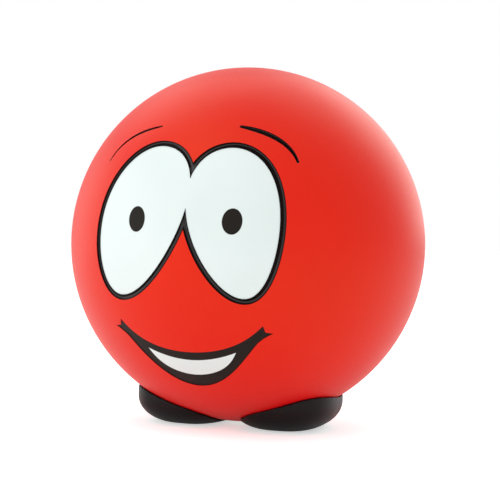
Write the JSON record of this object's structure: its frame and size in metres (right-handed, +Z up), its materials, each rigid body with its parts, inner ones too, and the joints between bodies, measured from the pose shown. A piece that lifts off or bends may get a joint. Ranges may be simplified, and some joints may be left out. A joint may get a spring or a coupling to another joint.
{
  "type": "stress ball",
  "caption": "Round squeezable foam stress ball with a moulded cartoon face, standing on soft feet on a desk.",
  "frame": {"origin": "on the surface that the ball stands on, under the middle of the ball", "axes": "+Z up, the face looks along -Y, +X is to the right of a person who looks at the face"},
  "size_m": [0.07, 0.07, 0.0703],
  "materials": {
    "core_foam": "bare open-cell polyurethane foam",
    "red_skin": "satin moulded polyurethane skin",
    "black_enamel": "glossy flexible paint",
    "white_enamel": "satin flexible paint",
    "black_foam": "satin moulded polyurethane skin"
  },
  "bodies": {
    "root": {"foam_core": "core_foam", "red_skin": "red_skin", "eye_outline": "black_enamel", "eye_white": "white_enamel", "left_pupil": "black_enamel", "right_pupil": "black_enamel", "left_brow": "black_enamel", "right_brow": "black_enamel", "mouth": "black_enamel", "teeth": "white_enamel", "left_foot": "black_foam", "right_foot": "black_foam"}
  },
  "joints": []
}
